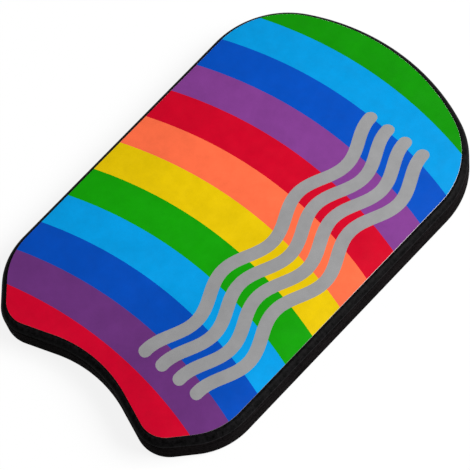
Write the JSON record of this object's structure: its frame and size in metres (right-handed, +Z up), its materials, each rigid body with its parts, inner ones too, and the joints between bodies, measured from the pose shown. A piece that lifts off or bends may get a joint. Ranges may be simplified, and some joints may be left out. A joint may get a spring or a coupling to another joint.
{
  "type": "swimming kickboard",
  "caption": "Flat foam swimming kickboard with a broad round nose, near-straight sides, a curved tail cut-out, rounded black edges and a rainbow-striped top film.",
  "frame": {"origin": "middle of the board's underside, halfway along its length and width", "axes": "+Y to the round nose, +Z up out of the printed face, +X across the board"},
  "size_m": [0.294, 0.4501, 0.033],
  "materials": {
    "black_foam_skin": "matte black closed-cell EVA foam, firm outer layer",
    "black_foam_core": "matte black closed-cell EVA foam, cut face with fine cells",
    "glue": "thin dark grey glue line seen at the cut edge",
    "printed_film": "satin white plastic film, printed with curved rainbow bands"
  },
  "bodies": {
    "root": {"bottom_foam_layer": "black_foam_skin", "lower_glue_line": "glue", "foam_core": "black_foam_core", "upper_glue_line": "glue", "top_foam_layer": "black_foam_skin", "printed_film": "printed_film"}
  },
  "joints": []
}
